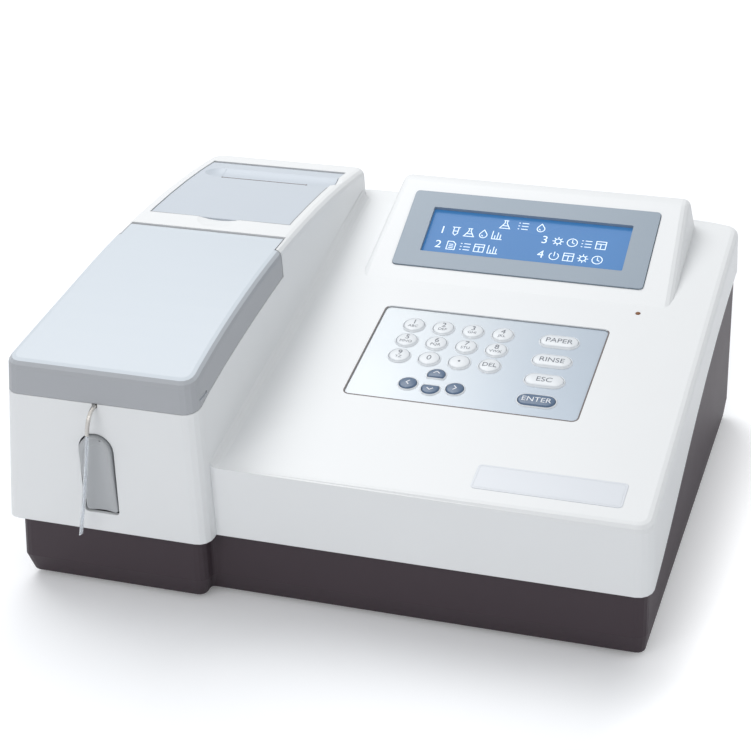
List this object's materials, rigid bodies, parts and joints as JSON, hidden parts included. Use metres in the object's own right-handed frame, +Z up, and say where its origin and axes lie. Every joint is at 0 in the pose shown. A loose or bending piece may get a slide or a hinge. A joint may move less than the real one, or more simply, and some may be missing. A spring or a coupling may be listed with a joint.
{
  "type": "semi-automatic chemistry analyzer",
  "caption": "Low bench analyzer with a tall sample tower, hinged lid, needle and trigger, strip printer, tilted display and sloping key panel on a dark base.",
  "frame": {"origin": "middle of the plan on the bench, measured without the free aspiration tube", "axes": "+X to the operator's right, +Y to the rear, +Z up; the front faces -Y"},
  "size_m": [0.3864, 0.3289, 0.1695],
  "materials": {
    "case_white": "satin moulded",
    "case_dark": "fine texture",
    "lid_grey": "satin moulded",
    "bezel_grey": "satin moulded",
    "screen": "lit display behind a clear front",
    "panel_silver": "silver printed film",
    "key_white": "satin",
    "key_slate": "satin",
    "paddle_grey": "satin moulded",
    "steel": "drawn",
    "clear_tube": "clear flexible",
    "rubber": "matte",
    "black_plastic": "moulded",
    "board_green": "solder mask",
    "paper": "thermal",
    "led_amber": "lens"
  },
  "bodies": {
    "root": {"upper_case": "case_white", "lower_case": "case_dark", "display_bezel": "bezel_grey", "lcd_panel": "screen", "keypad_overlay": "panel_silver", "key_board": "board_green", "status_led": "led_amber", "aspiration_needle": "steel", "aspiration_tube": "clear_tube", "foot_1": "rubber", "foot_2": "rubber", "foot_3": "rubber", "foot_4": "rubber", "flow_cell_holder": "black_plastic", "flow_cell": "clear_tube", "pump_body": "bezel_grey", "pump_motor": "steel", "sample_line": "clear_tube", "pump_tube": "clear_tube", "printer_tray": "black_plastic", "printer_mechanism": "black_plastic", "paper_roll": "paper", "power_inlet": "black_plastic", "switch_frame": "black_plastic", "serial_port": "steel", "fan_frame": "black_plastic", "main_board": "board_green", "power_supply": "steel", "photometer_housing": "black_plastic"},
    "lid": {"front_lid": "lid_grey"},
    "cover": {"printer_cover": "lid_grey"},
    "trigger": {"trigger_paddle": "paddle_grey"},
    "rocker": {"power_rocker": "black_plastic"},
    "pump_rotor_body": {"pump_rotor": "key_white"},
    "platen": {"platen_roller": "rubber"},
    "fan": {"fan_rotor": "black_plastic"},
    "key_1_body": {"key_1": "key_white"},
    "key_2_body": {"key_2": "key_white"},
    "key_3_body": {"key_3": "key_white"},
    "key_4_body": {"key_4": "key_white"},
    "key_5_body": {"key_5": "key_white"},
    "key_6_body": {"key_6": "key_white"},
    "key_7_body": {"key_7": "key_white"},
    "key_8_body": {"key_8": "key_white"},
    "key_9_body": {"key_9": "key_white"},
    "key_0_body": {"key_0": "key_white"},
    "key_point_body": {"key_point": "key_white"},
    "key_delete_body": {"key_delete": "key_white"},
    "key_up_body": {"key_up": "key_slate"},
    "key_down_body": {"key_down": "key_slate"},
    "key_left_body": {"key_left": "key_slate"},
    "key_right_body": {"key_right": "key_slate"},
    "key_paper_body": {"key_paper": "key_white"},
    "key_rinse_body": {"key_rinse": "key_white"},
    "key_escape_body": {"key_escape": "key_white"},
    "key_enter_body": {"key_enter": "key_slate"},
    "roller_1": {"pump_roller_1": "steel"},
    "roller_2": {"pump_roller_2": "steel"},
    "roller_3": {"pump_roller_3": "steel"}
  },
  "joints": [
    {"name": "lid_hinge", "type": "hinge", "parent": "root", "child": "lid", "pos_m": [-0.12126, 0.00453, 0.1642], "axis": [-1, 0, 0], "range_deg": [0, 100]},
    {"name": "cover_hinge", "type": "hinge", "parent": "root", "child": "cover", "pos_m": [-0.12126, 0.13403, 0.15789], "axis": [-1, 0, 0], "range_deg": [0, 100]},
    {"name": "trigger_press", "type": "hinge", "parent": "root", "child": "trigger", "pos_m": [-0.12926, -0.14597, 0.1], "axis": [1, 0, 0], "range_deg": [0, 6.5], "stiffness_Nm_per_rad": 0.6, "springref_deg": -4.58},
    {"name": "key_1_press", "type": "slide", "parent": "root", "child": "key_1_body", "axis": [0, 0.1607, -0.987], "range_m": [0, 0.0008], "stiffness_N_per_m": 900, "springref_m": -0.0003},
    {"name": "key_2_press", "type": "slide", "parent": "root", "child": "key_2_body", "axis": [0, 0.1607, -0.987], "range_m": [0, 0.0008], "stiffness_N_per_m": 900, "springref_m": -0.0003},
    {"name": "key_3_press", "type": "slide", "parent": "root", "child": "key_3_body", "axis": [0, 0.1607, -0.987], "range_m": [0, 0.0008], "stiffness_N_per_m": 900, "springref_m": -0.0003},
    {"name": "key_4_press", "type": "slide", "parent": "root", "child": "key_4_body", "axis": [0, 0.1607, -0.987], "range_m": [0, 0.0008], "stiffness_N_per_m": 900, "springref_m": -0.0003},
    {"name": "key_5_press", "type": "slide", "parent": "root", "child": "key_5_body", "axis": [0, 0.1607, -0.987], "range_m": [0, 0.0008], "stiffness_N_per_m": 900, "springref_m": -0.0003},
    {"name": "key_6_press", "type": "slide", "parent": "root", "child": "key_6_body", "axis": [0, 0.1607, -0.987], "range_m": [0, 0.0008], "stiffness_N_per_m": 900, "springref_m": -0.0003},
    {"name": "key_7_press", "type": "slide", "parent": "root", "child": "key_7_body", "axis": [0, 0.1607, -0.987], "range_m": [0, 0.0008], "stiffness_N_per_m": 900, "springref_m": -0.0003},
    {"name": "key_8_press", "type": "slide", "parent": "root", "child": "key_8_body", "axis": [0, 0.1607, -0.987], "range_m": [0, 0.0008], "stiffness_N_per_m": 900, "springref_m": -0.0003},
    {"name": "key_9_press", "type": "slide", "parent": "root", "child": "key_9_body", "axis": [0, 0.1607, -0.987], "range_m": [0, 0.0008], "stiffness_N_per_m": 900, "springref_m": -0.0003},
    {"name": "key_0_press", "type": "slide", "parent": "root", "child": "key_0_body", "axis": [0, 0.1607, -0.987], "range_m": [0, 0.0008], "stiffness_N_per_m": 900, "springref_m": -0.0003},
    {"name": "key_point_press", "type": "slide", "parent": "root", "child": "key_point_body", "axis": [0, 0.1607, -0.987], "range_m": [0, 0.0008], "stiffness_N_per_m": 900, "springref_m": -0.0003},
    {"name": "key_delete_press", "type": "slide", "parent": "root", "child": "key_delete_body", "axis": [0, 0.1607, -0.987], "range_m": [0, 0.0008], "stiffness_N_per_m": 900, "springref_m": -0.0003},
    {"name": "key_up_press", "type": "slide", "parent": "root", "child": "key_up_body", "axis": [0, 0.1607, -0.987], "range_m": [0, 0.0008], "stiffness_N_per_m": 900, "springref_m": -0.0003},
    {"name": "key_down_press", "type": "slide", "parent": "root", "child": "key_down_body", "axis": [0, 0.1607, -0.987], "range_m": [0, 0.0008], "stiffness_N_per_m": 900, "springref_m": -0.0003},
    {"name": "key_left_press", "type": "slide", "parent": "root", "child": "key_left_body", "axis": [0, 0.1607, -0.987], "range_m": [0, 0.0008], "stiffness_N_per_m": 900, "springref_m": -0.0003},
    {"name": "key_right_press", "type": "slide", "parent": "root", "child": "key_right_body", "axis": [0, 0.1607, -0.987], "range_m": [0, 0.0008], "stiffness_N_per_m": 900, "springref_m": -0.0003},
    {"name": "key_paper_press", "type": "slide", "parent": "root", "child": "key_paper_body", "axis": [0, 0.1607, -0.987], "range_m": [0, 0.0008], "stiffness_N_per_m": 900, "springref_m": -0.0003},
    {"name": "key_rinse_press", "type": "slide", "parent": "root", "child": "key_rinse_body", "axis": [0, 0.1607, -0.987], "range_m": [0, 0.0008], "stiffness_N_per_m": 900, "springref_m": -0.0003},
    {"name": "key_escape_press", "type": "slide", "parent": "root", "child": "key_escape_body", "axis": [0, 0.1607, -0.987], "range_m": [0, 0.0008], "stiffness_N_per_m": 900, "springref_m": -0.0003},
    {"name": "key_enter_press", "type": "slide", "parent": "root", "child": "key_enter_body", "axis": [0, 0.1607, -0.987], "range_m": [0, 0.0008], "stiffness_N_per_m": 900, "springref_m": -0.0003},
    {"name": "power_switch", "type": "hinge", "parent": "root", "child": "rocker", "pos_m": [0.14224, 0.15733, 0.072], "axis": [1, 0, 0], "range_deg": [0, 14]},
    {"name": "pump_spin", "type": "hinge", "parent": "root", "child": "pump_rotor_body", "pos_m": [-0.09776, -0.04647, 0.1216], "axis": [0, 0, 1], "continuous": true},
    {"name": "roller_1_spin", "type": "hinge", "parent": "pump_rotor_body", "child": "roller_1", "pos_m": [-0.09776, -0.03597, 0.1216], "axis": [0, 0, 1], "continuous": true},
    {"name": "roller_2_spin", "type": "hinge", "parent": "pump_rotor_body", "child": "roller_2", "pos_m": [-0.10685, -0.05172, 0.1216], "axis": [0, 0, 1], "continuous": true},
    {"name": "roller_3_spin", "type": "hinge", "parent": "pump_rotor_body", "child": "roller_3", "pos_m": [-0.08867, -0.05172, 0.1216], "axis": [0, 0, 1], "continuous": true},
    {"name": "platen_spin", "type": "hinge", "parent": "root", "child": "platen", "pos_m": [-0.12126, 0.09453, 0.1443], "axis": [1, 0, 0], "continuous": true},
    {"name": "fan_spin", "type": "hinge", "parent": "root", "child": "fan", "pos_m": [0.03724, 0.14303, 0.058], "axis": [0, 1, 0], "continuous": true}
  ],
  "couplings": [
    {"joint": "roller_1_spin", "follows": "pump_spin", "ratio": -3.8378},
    {"joint": "roller_2_spin", "follows": "pump_spin", "ratio": -3.8378},
    {"joint": "roller_3_spin", "follows": "pump_spin", "ratio": -3.8378}
  ]
}
